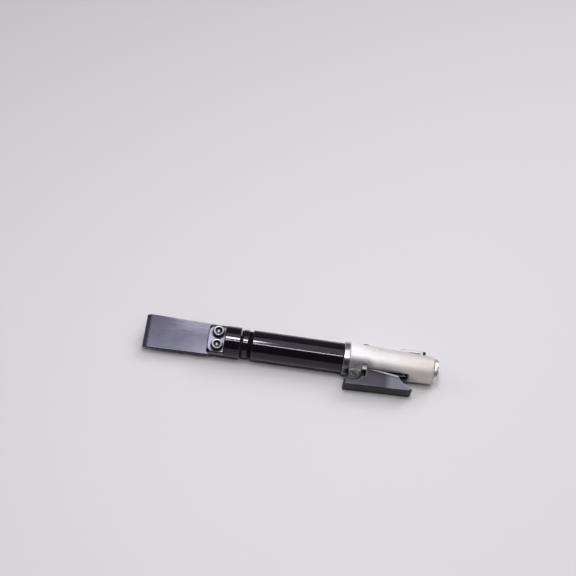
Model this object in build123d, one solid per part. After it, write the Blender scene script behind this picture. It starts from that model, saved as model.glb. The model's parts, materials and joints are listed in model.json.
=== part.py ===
from build123d import *
import math
import os

# Every size is in millimetres. The tool is drawn along X, cutting edge at x = 0 and air inlet at the far end,
# with the blade's upper face to +Z and the throttle lever to -Y. It is laid on the table at the end.

# Blade
blade_length = 52.8
edge_width = 28.0
shoulder_width = 26.0
blade_thickness = 3.0
bevel_length = 3.4
edge_land = 0.4
tang_width = 22.0
tang_corner = 2.8
relief_diameter = 5.4
relief_inset = 0.8
relief_setback = 0.5

# Clamp plate and its two socket cap screws
clamp_thickness = 1.6
clamp_overlap = 2.3
clamp_round = 5.2
clamp_bevel = 0.6
screw_pitch = 11.3
screw_setback = 5.7
screw_diameter = 5.0
screw_length = 10.0
head_diameter = 8.5
head_height = 5.0
socket_flats = 4.0
socket_depth = 2.6

# Blade holder, with its shank into the barrel
holder_diameter = 24.6
holder_length = 12.0
holder_chamfer = 1.2
holder_lead = 2.4
seat_length = 12.0
seat_wall = 1.2
shank_diameter = 12.0
anvil_entry = 5.0
holder_travel = 5.0

# Nose cap, with the seal and bush that guide the shank
running_gap = 1.6
ring_diameter = 22.4
ring_length = 4.7
neck_diameter = 20.6
neck_length = 3.0
nose_thread_length = 12.0
lip_length = 0.8
wiper_length = 2.0
wiper_neck = 0.9
bush_length = 10.0
bush_wall = 1.5
guide_pin_diameter = 3.0
guide_flat_depth = 1.7

# Return spring, its seat and clip, and the rubber stop
spring_length = 14.0
spring_wire = 1.4
spring_turns = 4.5
spring_seat_length = 2.8
clip_length = 1.0
clip_depth = 0.6
clip_stand = 0.9
clip_gap = 4.0
bumper_length = 3.0

# Barrel, liner and piston
barrel_diameter = 23.6
barrel_length = 72.9
barrel_bore = 18.0
spigot_diameter = 20.6
spigot_depth = 7.0
piston_diameter = 14.0
piston_length = 14.7
port_diameter = 3.0
port_setback = 17.0
exhaust_groove_depth = 0.8
exhaust_groove_length = 9.0
exhaust_spread = 36.0

# Cycling valve behind the liner
valve_plate_length = 3.0
valve_block_length = 9.0
valve_disc_diameter = 11.0
valve_disc_length = 1.2
valve_disc_travel = 1.0
valve_hole = 4.0
valve_dowel_diameter = 2.0
valve_dowel_length = 8.0
gasket_length = 0.8
gasket_hole = 16.4

# Collar and cast handle
collar_diameter = 26.4
collar_length = 4.8
handle_length = 67.8
handle_front_diameter = 26.0
handle_rear_diameter = 21.8
handle_round = 2.2

# Lever and the clevis boss that carries it
pin_diameter = 3.0
pin_recess_diameter = 4.8
pin_recess_depth = 0.4
pin_setback = 5.4
pin_reach = 14.2
ear_radius = 5.2
boss_round = 0.8
boss_blend = 5.0
tongue_width = 4.8
tongue_radius = 2.6
lever_lead = 8.2
lever_length = 54.7
lever_width = 14.4
lever_wall = 1.6
lever_plate = 1.8
lever_rim = 4.5
lever_tip_rise = 1.6
lever_swing = 8.0
lever_round = 1.0
lever_corner = 2.4
slot_drop = 1.5
cheek_start = 9.2
cheek_rise = 6.4
cheek_end = 34.3
cheek_end_rise = 2.8
cheek_sag = 1.6
pocket_flare = 1.4
pocket_flare_length = 12.0

# Throttle valve, across the handle behind the lever's pin
throttle_setback = 7.2
throttle_bore = 7.0
throttle_floor = 1.6
seat_ring_length = 2.4
seat_ring_hole = 4.4
valve_head_diameter = 5.8
valve_head_length = 2.2
spring_stub_diameter = 2.4
spring_stub_length = 1.4
stem_diameter = 2.6
stem_gap = 0.15
guide_diameter = 5.2
guide_top = 5.8
guide_face = 9.0
stem_seal_wall = 0.65
stem_seal_length = 1.4
throttle_spring_wire = 0.6
throttle_spring_diameter = 4.6
throttle_spring_turns = 4.0
plug_face = 8.0
plug_length = 5.2
plug_slot_width = 1.0
plug_slot_depth = 1.2

# Air passages
outlet_diameter = 3.6
outlet_level = 3.8
feed_diameter = 4.4
feed_level = 4.6
feed_length = 32.0
supply_diameter = 8.0
supply_length = 6.2
port_bore = 2.4

# Flow regulator on the side away from the lever
regulator_level = 12.2
regulator_boss = 5.2
regulator_length = 16.8
regulator_nose_length = 3.4
regulator_nose_diameter = 2.6
regulator_setback = 11.8
needle_diameter = 2.9
needle_length = 4.6
regulator_seal_wall = 0.5
regulator_seal_length = 1.2
regulator_seal_setback = 1.4
knob_diameter = 5.0
knob_length = 4.0
knob_gap = 0.4
knob_flutes = 12
flute_radius = 0.35

# Air inlet
flange_diameter = 18.4
flange_length = 3.0
inlet_thread_diameter = 15.0
inlet_thread_length = 12.6
inlet_bore = 11.45
inlet_depth = 12.0
inlet_seal_diameter = 17.2
inlet_seal_length = 0.8
screen_diameter = 10.0
screen_length = 0.8
screen_hole = 1.0
screen_pitch = 1.7
screen_rings = 2

# Clearances on a radius or a face
slide_fit = 0.03
seat_fit = 0.02
part_gap = 0.3
hole_clearance = 0.25
edge_break = 0.5

# Stations along the axis, from the cutting edge to the inlet
x_seat = blade_length
x_round = x_seat + seat_length
x_screw = x_seat + screw_setback
x_holder_back = x_round + holder_length
x_nose = x_holder_back + running_gap
x_neck = x_nose + ring_length
x_barrel = x_neck + neck_length
x_thread_end = x_barrel + nose_thread_length
x_bush_end = x_nose + lip_length + wiper_length + bush_length
x_guide_pin = (x_bush_end + x_thread_end) / 2
x_spring_seat = x_thread_end + spring_length
x_bumper = x_spring_seat + spring_seat_length
x_liner = x_bumper + bumper_length
x_anvil = x_liner + anvil_entry
x_piston = x_anvil + part_gap
x_collar = x_barrel + barrel_length
x_handle = x_collar + collar_length
x_spigot_end = x_handle + spigot_depth
x_valve_block = x_spigot_end - valve_block_length
x_valve_plate = x_valve_block - valve_plate_length
x_port = x_valve_plate - port_setback
x_bore_floor = x_spigot_end + gasket_length
x_pin = x_handle + pin_setback
x_heel = x_pin - lever_lead
x_tip = x_heel + lever_length
x_throttle = x_pin + throttle_setback
x_rear = x_handle + handle_length
x_inlet = x_rear + flange_length
x_inlet_floor = x_inlet - inlet_depth
x_supply_end = x_rear - inlet_thread_length - supply_length
x_feed_end = x_throttle + feed_length
x_knob = x_rear - regulator_setback
x_boss = x_knob - regulator_length

# Radii and levels shared by pieces that fit together
seat_level = -blade_thickness
head_level = clamp_thickness
shank_radius = shank_diameter / 2
bore_radius = barrel_bore / 2
collar_radius = collar_diameter / 2
bush_radius = shank_radius + slide_fit + bush_wall
spigot_radius = spigot_diameter / 2
piston_radius = piston_diameter / 2
disc_radius = valve_disc_diameter / 2
guide_pin_level = shank_radius - guide_flat_depth + slide_fit + guide_pin_diameter / 2
valve_dowel_level = (bore_radius + disc_radius) / 2 + part_gap / 2
needle_radius = needle_diameter / 2
needle_seal_radius = needle_radius + slide_fit + regulator_seal_wall
stem_radius = stem_diameter / 2
stem_seal_radius = stem_radius + slide_fit + stem_seal_wall
keel_half = lever_width / 2 - lever_wall - 2 * part_gap
ear_gap_half = tongue_width / 2 + part_gap
swing = math.radians(lever_swing)
ear_clear = ear_radius + part_gap
heel_top = pin_reach + ear_clear
lever_reach = heel_top + lever_rim
lever_tip_reach = lever_reach - lever_tip_rise
tip_top = lever_tip_reach - lever_plate
x_ear_end = x_pin + ear_radius
x_cheek = x_pin + cheek_start
x_cheek_end = x_pin + cheek_end


def lever_face(x):
    share = (x - x_heel) / lever_length
    return lever_reach + share * (lever_tip_reach - lever_reach)


stem_tip = lever_face(x_throttle) - lever_plate - stem_gap


# Where a point of the lever, some way behind the pin and above it, stands when the lever is pressed,
# with the clearance that the handle keeps over it.
def pressed(back, rise):
    x = x_pin + back * math.cos(swing) - rise * math.sin(swing)
    y = -pin_reach + back * math.sin(swing) + rise * math.cos(swing)
    return x, y + part_gap


def rod(start, end, radius, y=0.0, z=0.0):
    bar = Cylinder(radius, end - start, align=(Align.CENTER, Align.CENTER, Align.MIN))
    return Pos(start, y, z) * Rot(0, 90, 0) * bar


def post(low, high, radius, x):
    bar = Cylinder(radius, high - low, align=(Align.CENTER, Align.CENTER, Align.MIN))
    return Pos(x, low, 0) * Rot(-90, 0, 0) * bar


def block(x0, x1, y0, y1, half):
    return Pos((x0 + x1) / 2, (y0 + y1) / 2, 0) * Box(x1 - x0, y1 - y0, 2 * half)


def turned(points):
    outline = [(x, radius) for x, radius in points]
    return revolve(make_face(Polyline(*outline, close=True)), Axis.X, 360)


def tube(start, end, outer, inner):
    return turned([(start, inner), (start, outer), (end, outer), (end, inner)])


def plate_along_z(points, half):
    return extrude(make_face(Polyline(*points, close=True)), half, both=True)


# A round wire wound along +X from x = 0, each quarter turn drawn as two tangent arcs.
def coil(length, mean_radius, wire, turns):
    rise = (length - wire) / (turns * 2 * math.pi)
    steps = round(turns * 4)

    def point(angle):
        return Vector(wire / 2 + rise * angle, mean_radius * math.cos(angle), mean_radius * math.sin(angle))

    def heading(angle):
        return Vector(rise, -mean_radius * math.sin(angle), mean_radius * math.cos(angle)).normalized()

    arcs = []
    for step in range(steps):
        first = step * math.pi / 2
        last = first + math.pi / 2
        begin, end = point(first), point(last)
        leave, arrive = heading(first), heading(last)
        chord = end - begin
        forward = chord.dot(leave + arrive)
        bend = 2 * (1 - leave.dot(arrive))
        reach = (math.sqrt(forward ** 2 + bend * chord.dot(chord)) - forward) / bend
        middle = (begin + end + (leave - arrive) * reach) * 0.5
        through = (end - arrive * reach - begin - leave * reach).normalized()
        arcs.append(TangentArc(begin, middle, tangent=leave))
        arcs.append(TangentArc(middle, end, tangent=through))
    section = Plane(origin=point(0), z_dir=heading(0)) * Circle(wire / 2)
    return sweep(section, path=Wire(arcs))


# The least gap between neighbouring turns, measured on points along the wire's middle line.
def coil_gap(length, mean_radius, wire, turns):
    rise = (length - wire) / (turns * 2 * math.pi)
    angles = [step * math.pi / 36 for step in range(round(turns * 72) + 1)]
    points = [Vector(rise * a, mean_radius * math.cos(a), mean_radius * math.sin(a)) for a in angles]
    half_turn = 36
    spans = [(last - first).length for i, first in enumerate(points) for last in points[i + half_turn:]]
    return min(spans) - wire


def screw_places():
    return [Pos(x_screw, side * screw_pitch / 2, 0) for side in (-1, 1)]


def make_blade():
    tang_end = x_round - part_gap
    plan = [
        (0, edge_width / 2), (0, -edge_width / 2), (x_seat, -shoulder_width / 2),
        (x_seat, tang_corner - tang_width / 2), (x_seat + tang_corner, -tang_width / 2),
        (tang_end, -tang_width / 2), (tang_end, tang_width / 2),
        (x_seat + tang_corner, tang_width / 2), (x_seat, tang_width / 2 - tang_corner),
        (x_seat, shoulder_width / 2),
    ]
    flat = extrude(make_face(Polyline(*plan, close=True)), -blade_thickness)
    ground = [(0, edge_land - blade_thickness), (bevel_length, 0), (0, 0)]
    wedge = extrude(Plane.XZ * make_face(Polyline(*ground, close=True)), edge_width, both=True)
    blade = flat - wedge
    for place in screw_places():
        blade -= place * Cylinder(screw_diameter / 2 + hole_clearance, 4 * blade_thickness)
    relief = relief_diameter / 2
    level = shoulder_width / 2 - relief_inset - relief
    for side in (-1, 1):
        blade -= Pos(x_seat + relief_setback, side * level, 0) * Cylinder(relief, 4 * blade_thickness)
    return blade


def make_clamp_plate():
    front = x_seat - clamp_overlap
    back = x_round - part_gap
    half = tang_width / 2
    plate = Pos(0, 0, clamp_thickness / 2) * block(front, back, -half, half, clamp_thickness / 2)
    plate = fillet(plate.edges().filter_by(Axis.Z).group_by(Axis.X)[0], clamp_round)
    plate = chamfer(plate.faces().sort_by(Axis.Z)[-1].edges(), clamp_bevel)
    for place in screw_places():
        plate -= place * Cylinder(screw_diameter / 2 + hole_clearance, 4 * clamp_thickness)
    return plate


def make_screws():
    upward = (Align.CENTER, Align.CENTER, Align.MIN)
    downward = (Align.CENTER, Align.CENTER, Align.MAX)
    head = Cylinder(head_diameter / 2, head_height, align=upward)
    head = chamfer(head.edges().group_by(Axis.Z)[-1], edge_break)
    socket = extrude(RegularPolygon(socket_flats / 2, 6, major_radius=False), socket_depth)
    shank = Cylinder(screw_diameter / 2, screw_length, align=downward)
    screw = Pos(0, 0, head_level) * (head + shank - Pos(0, 0, head_height - socket_depth) * socket)
    return Compound([place * screw for place in screw_places()])


def make_holder():
    radius = holder_diameter / 2
    x_front = x_seat - holder_lead
    body = turned([
        (x_front, 0), (x_front, radius - holder_chamfer), (x_front + holder_chamfer, radius),
        (x_holder_back - edge_break, radius), (x_holder_back, radius - edge_break),
        (x_holder_back, shank_radius), (x_anvil - edge_break, shank_radius),
        (x_anvil, shank_radius - edge_break), (x_anvil, 0),
    ])
    channel = block(x_seat, x_round, -tang_width / 2 - seat_fit, tang_width / 2 + seat_fit, radius)
    body -= Pos(0, 0, seat_level + radius) * channel
    body -= Pos(0, 0, seat_level + radius) * block(x_front, x_seat, -radius, radius, radius)
    body -= Pos(0, 0, seat_wall + radius) * block(x_seat, x_round, -radius, radius, radius)
    depth = screw_length - clamp_thickness - blade_thickness
    for place in screw_places():
        body -= place * Pos(0, 0, seat_level - depth / 2) * Cylinder(screw_diameter / 2 + seat_fit, depth)
    flat_start = x_guide_pin - guide_pin_diameter / 2 - part_gap
    flat_end = x_guide_pin + guide_pin_diameter / 2 + holder_travel + part_gap
    body -= block(flat_start, flat_end, shank_radius - guide_flat_depth, shank_radius, shank_radius)
    groove = tube(x_bumper - clip_length, x_bumper, shank_radius, shank_radius - clip_depth - seat_fit)
    return body - groove


def make_nose_cap():
    ring = ring_diameter / 2
    neck = neck_diameter / 2
    thread = bore_radius - seat_fit
    mouth = shank_radius + wiper_neck
    inner = bush_radius + seat_fit
    x_lip = x_nose + lip_length
    cap = turned([
        (x_nose, mouth), (x_nose, ring - edge_break), (x_nose + edge_break, ring),
        (x_neck - edge_break, ring), (x_neck, ring - edge_break), (x_neck, neck), (x_barrel, neck),
        (x_barrel, thread), (x_thread_end, thread), (x_thread_end, inner), (x_lip, inner), (x_lip, mouth),
    ])
    hole = Cylinder(guide_pin_diameter / 2 + seat_fit, barrel_bore)
    return cap - Pos(x_guide_pin, guide_pin_level, 0) * hole


# The wiper snaps through the cap's mouth, and its flange covers the gap that the holder works across.
def make_wiper():
    inner = shank_radius + slide_fit
    neck = shank_radius + wiper_neck - seat_fit
    flange = neck_diameter / 2
    x_flange = x_holder_back + part_gap
    x_lip = x_nose + lip_length
    end = x_lip + wiper_length
    return turned([
        (x_flange, inner), (x_flange, flange), (x_nose, flange), (x_nose, neck), (x_lip, neck),
        (x_lip, bush_radius), (end, bush_radius), (end, inner),
    ])


def make_nose_bush():
    return tube(x_bush_end - bush_length, x_bush_end, bush_radius, shank_radius + slide_fit)


def make_guide_pin():
    reach = math.sqrt((bore_radius - part_gap) ** 2 - (guide_pin_level + guide_pin_diameter / 2) ** 2)
    return Pos(x_guide_pin, guide_pin_level, 0) * Cylinder(guide_pin_diameter / 2, 2 * reach)


def return_winding():
    return spring_length, (shank_radius + bore_radius) / 2, spring_wire, spring_turns


def make_return_spring():
    return Pos(x_thread_end, 0, 0) * coil(*return_winding())


def make_spring_seat():
    clip_radius = shank_radius + clip_stand + seat_fit
    washer = tube(x_spring_seat, x_bumper, bore_radius - part_gap, shank_radius + seat_fit)
    return washer - tube(x_bumper - clip_length, x_bumper, clip_radius, shank_radius)


def make_snap_ring():
    ring = tube(x_bumper - clip_length, x_bumper, shank_radius + clip_stand, shank_radius - clip_depth)
    return ring - block(x_bumper - clip_length, x_bumper, 0, bore_radius, clip_gap / 2)


def make_bumper():
    return tube(x_bumper, x_liner, bore_radius - seat_fit, shank_radius + part_gap)


def make_liner():
    liner = tube(x_liner, x_valve_plate, bore_radius - seat_fit, piston_radius + slide_fit)
    for turn in (0, 90):
        liner -= Pos(x_port, 0, 0) * Rot(turn, 0, 0) * Cylinder(port_diameter / 2, barrel_bore)
    return liner


def make_barrel():
    radius = barrel_diameter / 2
    barrel = turned([
        (x_barrel, bore_radius), (x_barrel, radius - edge_break), (x_barrel + edge_break, radius),
        (x_collar - edge_break, radius), (x_collar, radius - edge_break), (x_collar, spigot_radius),
        (x_spigot_end, spigot_radius), (x_spigot_end, bore_radius),
    ])
    half = exhaust_groove_length / 2
    barrel -= tube(x_port - half, x_port + half, bore_radius + exhaust_groove_depth, bore_radius)
    outlet = Cylinder(port_diameter / 2, barrel_diameter, align=(Align.CENTER, Align.CENTER, Align.MAX))
    for turn in (-exhaust_spread, 0, exhaust_spread):
        barrel -= Pos(x_port, 0, 0) * Rot(turn, 0, 0) * outlet
    return barrel


def make_piston():
    end = x_piston + piston_length
    return turned([
        (x_piston, 0), (x_piston, piston_radius - edge_break), (x_piston + edge_break, piston_radius),
        (end - edge_break, piston_radius), (end, piston_radius - edge_break), (end, 0),
    ])


def dowel_hole(start, end):
    return rod(start, end, valve_dowel_diameter / 2 + seat_fit, z=valve_dowel_level)


def make_valve_plate():
    plate = tube(x_valve_plate, x_valve_block, bore_radius - seat_fit, valve_hole / 2)
    return plate - dowel_hole(x_valve_plate, x_valve_block)


def make_valve_disc():
    back = x_valve_block + valve_disc_length + valve_disc_travel + slide_fit
    return rod(back - valve_disc_length, back, disc_radius)


def make_valve_block():
    recess = valve_disc_length + valve_disc_travel + slide_fit
    body = tube(x_valve_block, x_spigot_end, bore_radius - seat_fit, valve_hole / 2)
    body -= rod(x_valve_block, x_valve_block + recess, disc_radius + part_gap)
    return body - dowel_hole(x_valve_block, x_valve_plate + valve_dowel_length)


def make_valve_dowel():
    end = x_valve_plate + valve_dowel_length
    return rod(x_valve_plate, end, valve_dowel_diameter / 2, z=valve_dowel_level)


def make_gasket():
    return tube(x_spigot_end, x_bore_floor, spigot_radius, gasket_hole / 2)


def make_collar():
    radius = collar_radius
    inner = spigot_radius + seat_fit
    return turned([
        (x_collar, inner), (x_collar, radius - edge_break), (x_collar + edge_break, radius),
        (x_handle - edge_break, radius), (x_handle, radius - edge_break), (x_handle, inner),
    ])


def grip_body():
    grip = turned([
        (x_handle, 0), (x_handle, handle_front_diameter / 2), (x_rear, handle_rear_diameter / 2), (x_rear, 0),
    ])
    grip = chamfer(grip.edges().filter_by(GeomType.CIRCLE).sort_by(Axis.X)[0], edge_break)
    return fillet(grip.edges().filter_by(GeomType.CIRCLE).sort_by(Axis.X)[-1], handle_round)


def lever_boss():
    half = lever_width / 2
    low = -pin_reach - ear_radius
    bend = ear_radius * math.sqrt(0.5)
    sides = Polyline((x_ear_end, -pin_reach), (x_ear_end, 0), (x_handle, 0), (x_handle, low), (x_pin, low))
    ear = ThreePointArc((x_pin, low), (x_pin + bend, -pin_reach - bend), (x_ear_end, -pin_reach))
    boss = extrude(make_face(sides.edges() + [ear]), half, both=True)
    rims = boss.edges().filter_by(lambda edge: abs(abs(edge.center().Z) - half) < slide_fit)
    return fillet(rims, boss_round)


# The cast hollow where each side of the boss runs into the grip: an arc that touches both.
def boss_blends():
    half = lever_width / 2
    share = (x_pin - x_handle) / handle_length
    grip = (handle_front_diameter + share * (handle_rear_diameter - handle_front_diameter)) / 2
    reach = grip + boss_blend
    level = half + boss_blend
    drop = math.sqrt(reach ** 2 - level ** 2)
    low = (-drop, half)
    high = (-drop * grip / reach, level * grip / reach)
    slack = math.atan2(drop - drop * grip / reach, level - level * grip / reach) / 2
    middle = (-drop + boss_blend * math.sin(slack), level - boss_blend * math.cos(slack))
    sides = Polyline(high, (high[0] + part_gap, half - part_gap), (low[0], half - part_gap), low)
    section = Plane.YZ * make_face(sides.edges() + [ThreePointArc(low, middle, high)])
    start = x_handle + edge_break
    web = Pos(start, 0, 0) * extrude(section, x_ear_end - boss_round - start)
    return web + mirror(web, Plane.XY)


def regulator_body():
    nose = regulator_nose_diameter / 2
    radius = regulator_boss / 2
    return Pos(0, regulator_level, 0) * turned([
        (x_boss, 0), (x_boss, nose), (x_boss + regulator_nose_length, radius), (x_knob, radius), (x_knob, 0),
    ])


# The cheeks rise into a pocket on each side of the keel, under the grip's own skin, which opens wider in front.
def lever_spaces():
    clevis_top = -(pin_reach - tongue_radius - part_gap)
    low = -lever_reach
    outer = handle_front_diameter
    ledge = pressed(cheek_start, cheek_rise)
    ledge_end = pressed(cheek_end, cheek_end_rise)
    tip = pressed(x_tip - x_pin, pin_reach - tip_top)
    spaces = [block(x_handle, x_ear_end, low, clevis_top, ear_gap_half)]
    spaces.append(Pos(x_pin, -pin_reach, 0) * Cylinder(pin_diameter / 2 + seat_fit, 2 * lever_width))
    spaces.append(block(x_ear_end, x_cheek, low, -guide_face, outer))
    side = [(x_ear_end, low), (x_ear_end, ledge[1]), ledge, ledge_end, tip, (tip[0], low)]
    wall = lever_width / 2 + part_gap
    plan = [
        (x_ear_end, keel_half), (tip[0], keel_half), (tip[0], wall), (x_cheek + pocket_flare_length, wall),
        (x_cheek, wall + pocket_flare), (x_cheek, outer), (x_ear_end, outer),
    ]
    pocket = Pos(0, 0, (outer + keel_half) / 2) * plate_along_z(side, (outer - keel_half) / 2)
    pocket &= extrude(Plane.XZ * make_face(Polyline(*plan, close=True)), outer, both=True)
    spaces += [pocket, mirror(pocket, Plane.XY)]
    recess = Cylinder(pin_recess_diameter / 2, 2 * pin_recess_depth)
    for sign in (-1, 1):
        spaces.append(Pos(x_pin, -pin_reach, sign * lever_width / 2) * recess)
    return spaces


def throttle_spaces():
    return [
        post(-throttle_floor, handle_front_diameter, throttle_bore / 2, x_throttle),
        post(-guide_top, -throttle_floor, seat_ring_hole / 2, x_throttle),
        post(-handle_front_diameter, -guide_top, guide_diameter / 2 + seat_fit, x_throttle),
        rod(x_bore_floor, x_throttle, outlet_diameter / 2, y=-outlet_level),
        rod(x_throttle, x_feed_end, feed_diameter / 2, y=feed_level),
    ]


def regulator_spaces():
    x_front_port = x_feed_end - port_bore / 2
    x_rear_port = x_supply_end + port_bore / 2
    x_seal = x_knob - regulator_seal_setback
    pocket = knob_diameter / 2 + part_gap
    pocket_end = x_knob + knob_gap + knob_length + knob_gap
    return [
        post(feed_level, regulator_level, port_bore / 2, x_front_port),
        post(0, regulator_level, port_bore / 2, x_rear_port),
        rod(x_front_port - port_bore, x_knob, needle_radius + slide_fit, y=regulator_level),
        rod(x_seal - regulator_seal_length, x_seal, needle_seal_radius + seat_fit, y=regulator_level),
        rod(x_knob, pocket_end, pocket, y=regulator_level),
        block(x_knob, pocket_end, regulator_level, handle_front_diameter, pocket),
    ]


def inlet_spaces():
    x_thread = x_rear - inlet_thread_length
    return [
        rod(x_thread, x_rear, inlet_thread_diameter / 2 + seat_fit),
        rod(x_supply_end, x_thread, supply_diameter / 2),
        rod(x_rear - inlet_seal_length, x_rear, inlet_seal_diameter / 2 + seat_fit),
    ]


def make_handle():
    handle = grip_body() + lever_boss() + boss_blends() + regulator_body()
    handle -= rod(x_handle, x_bore_floor, spigot_radius + seat_fit)
    for space in lever_spaces() + throttle_spaces() + regulator_spaces() + inlet_spaces():
        handle -= space
    return handle


# The lever's side outline runs under the boss, round its ear, across the gap for the valve stem
# and along the cheek, which sweeps down in a hollow curve to the tip.
def lever_outline():
    slot = -pin_reach - slot_drop
    x_slot = x_pin + math.sqrt(ear_clear ** 2 - slot_drop ** 2)
    halfway = math.atan2(-slot_drop, x_slot - x_pin) / 2 - math.pi / 4
    under_ear = (x_pin + ear_clear * math.cos(halfway), -pin_reach + ear_clear * math.sin(halfway))
    corner = Vector(x_cheek_end, cheek_end_rise - pin_reach)
    tip = Vector(x_tip, -tip_top)
    chord = tip - corner
    hollow = (corner + tip) * 0.5 + Vector(chord.Y, -chord.X).normalized() * cheek_sag
    heel = (x_heel, -lever_reach)
    front = Polyline(tip, (x_tip, -lever_tip_reach), heel, (x_heel, -heel_top), (x_pin, -heel_top))
    around = ThreePointArc((x_pin, -heel_top), under_ear, (x_slot, slot))
    cheek = Polyline((x_slot, slot), (x_cheek, slot), (x_cheek, cheek_rise - pin_reach), corner)
    return front.edges() + [around] + cheek.edges() + [ThreePointArc(corner, hollow, tip)]


def make_lever():
    half = lever_width / 2
    shell = extrude(make_face(lever_outline()), half, both=True)
    plan = Pos((x_heel + x_tip) / 2, 0, 0) * RectangleRounded(lever_length, lever_width, lever_corner)
    shell &= extrude(Plane.XZ * plan, 2 * lever_reach, both=True)
    shell = fillet(shell.faces().sort_by(Axis.Y)[0].edges(), lever_round)
    inside = [(x_heel, 0), (x_tip, 0), (x_tip, -tip_top), (x_heel, lever_plate - lever_reach)]
    shell -= plate_along_z(inside, half - lever_wall)
    tongue_low = lever_plate / 2 - lever_face(x_pin)
    tongue = block(x_pin - tongue_radius, x_pin + tongue_radius, tongue_low, -pin_reach, tongue_width / 2)
    tongue += Pos(x_pin, -pin_reach, 0) * Cylinder(tongue_radius, tongue_width)
    lever = shell + tongue
    return lever - Pos(x_pin, -pin_reach, 0) * Cylinder(pin_diameter / 2 + slide_fit, lever_width)


def make_lever_pin():
    return Pos(x_pin, -pin_reach, 0) * Cylinder(pin_diameter / 2, lever_width)


def make_throttle_seat():
    ring = post(-throttle_floor, seat_ring_length - throttle_floor, throttle_bore / 2 - seat_fit, x_throttle)
    return ring - post(-throttle_floor, seat_ring_length, seat_ring_hole / 2, x_throttle)


def make_throttle_stem():
    face = seat_ring_length - throttle_floor
    top = face + valve_head_length
    stem = post(-stem_tip, face, stem_radius, x_throttle)
    stem += post(face, top, valve_head_diameter / 2, x_throttle)
    return stem + post(top, top + spring_stub_length, spring_stub_diameter / 2, x_throttle)


def throttle_winding():
    length = plug_face - seat_ring_length + throttle_floor - valve_head_length
    mean = (throttle_spring_diameter - throttle_spring_wire) / 2
    return length, mean, throttle_spring_wire, throttle_spring_turns


def make_throttle_spring():
    start = plug_face - throttle_winding()[0]
    return Pos(x_throttle, start, 0) * Rot(0, 0, 90) * coil(*throttle_winding())


def make_stem_guide():
    guide = post(-guide_face, -guide_top, guide_diameter / 2, x_throttle)
    guide -= post(-lever_reach, 0, stem_radius + slide_fit, x_throttle)
    return guide - post(-guide_top - stem_seal_length, -guide_top, stem_seal_radius + seat_fit, x_throttle)


def make_stem_seal():
    ring = post(-guide_top - stem_seal_length, -guide_top, stem_seal_radius, x_throttle)
    return ring - post(-lever_reach, 0, stem_radius + slide_fit, x_throttle)


def make_valve_plug():
    end = plug_face + plug_length
    plug = post(plug_face, end, throttle_bore / 2 - seat_fit, x_throttle)
    plug = chamfer(plug.edges().filter_by(GeomType.CIRCLE).sort_by(Axis.Y)[-1], edge_break)
    left = x_throttle - throttle_bore
    right = x_throttle + throttle_bore
    return plug - block(left, right, end - plug_slot_depth, end, plug_slot_width / 2)


def make_regulator_screw():
    start = x_knob + knob_gap
    screw = rod(x_knob - needle_length, start, needle_radius, y=regulator_level)
    screw += rod(start, start + knob_length, knob_diameter / 2, y=regulator_level)
    for flute in range(knob_flutes):
        angle = flute * 2 * math.pi / knob_flutes
        y = regulator_level + knob_diameter / 2 * math.cos(angle)
        z = knob_diameter / 2 * math.sin(angle)
        screw -= rod(start, start + knob_length, flute_radius, y=y, z=z)
    return screw


def make_regulator_seal():
    end = x_knob - regulator_seal_setback
    ring = rod(end - regulator_seal_length, end, needle_seal_radius, y=regulator_level)
    return ring - rod(x_boss, x_knob, needle_radius + slide_fit, y=regulator_level)


def make_inlet_bushing():
    thread = inlet_thread_diameter / 2
    flange = flange_diameter / 2
    start = x_rear - inlet_thread_length
    return turned([
        (start, supply_diameter / 2), (start, thread), (x_rear, thread), (x_rear, flange),
        (x_inlet - edge_break, flange), (x_inlet, flange - edge_break), (x_inlet, inlet_bore / 2),
        (x_inlet_floor, inlet_bore / 2), (x_inlet_floor, screen_diameter / 2),
        (x_inlet_floor - screen_length, screen_diameter / 2),
        (x_inlet_floor - screen_length, supply_diameter / 2),
    ])


def make_inlet_seal():
    inner = inlet_thread_diameter / 2 + seat_fit
    return tube(x_rear - inlet_seal_length, x_rear, inlet_seal_diameter / 2, inner)


def make_inlet_screen():
    back = x_inlet_floor - screen_length
    screen = rod(back, x_inlet_floor, screen_diameter / 2 - seat_fit)
    for ring in range(screen_rings + 1):
        holes = max(1, 6 * ring)
        for hole in range(holes):
            angle = hole * 2 * math.pi / holes
            y = ring * screen_pitch * math.cos(angle)
            z = ring * screen_pitch * math.sin(angle)
            screen -= rod(back, x_inlet_floor, screen_hole / 2, y=y, z=z)
    return screen


def make_pieces():
    return {
        "blade": make_blade(),
        "blade_clamp_plate": make_clamp_plate(),
        "blade_screws": make_screws(),
        "blade_holder": make_holder(),
        "nose_cap": make_nose_cap(),
        "wiper_seal": make_wiper(),
        "nose_bush": make_nose_bush(),
        "guide_pin": make_guide_pin(),
        "return_spring": make_return_spring(),
        "spring_seat": make_spring_seat(),
        "snap_ring": make_snap_ring(),
        "bumper_ring": make_bumper(),
        "barrel": make_barrel(),
        "cylinder_liner": make_liner(),
        "piston": make_piston(),
        "valve_plate": make_valve_plate(),
        "valve_disc": make_valve_disc(),
        "valve_block": make_valve_block(),
        "valve_dowel": make_valve_dowel(),
        "valve_gasket": make_gasket(),
        "lock_collar": make_collar(),
        "handle": make_handle(),
        "lever": make_lever(),
        "lever_pin": make_lever_pin(),
        "throttle_seat": make_throttle_seat(),
        "throttle_stem": make_throttle_stem(),
        "throttle_spring": make_throttle_spring(),
        "stem_guide": make_stem_guide(),
        "stem_seal": make_stem_seal(),
        "valve_plug": make_valve_plug(),
        "regulator_screw": make_regulator_screw(),
        "regulator_seal": make_regulator_seal(),
        "inlet_bushing": make_inlet_bushing(),
        "inlet_seal": make_inlet_seal(),
        "inlet_screen": make_inlet_screen(),
    }


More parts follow.
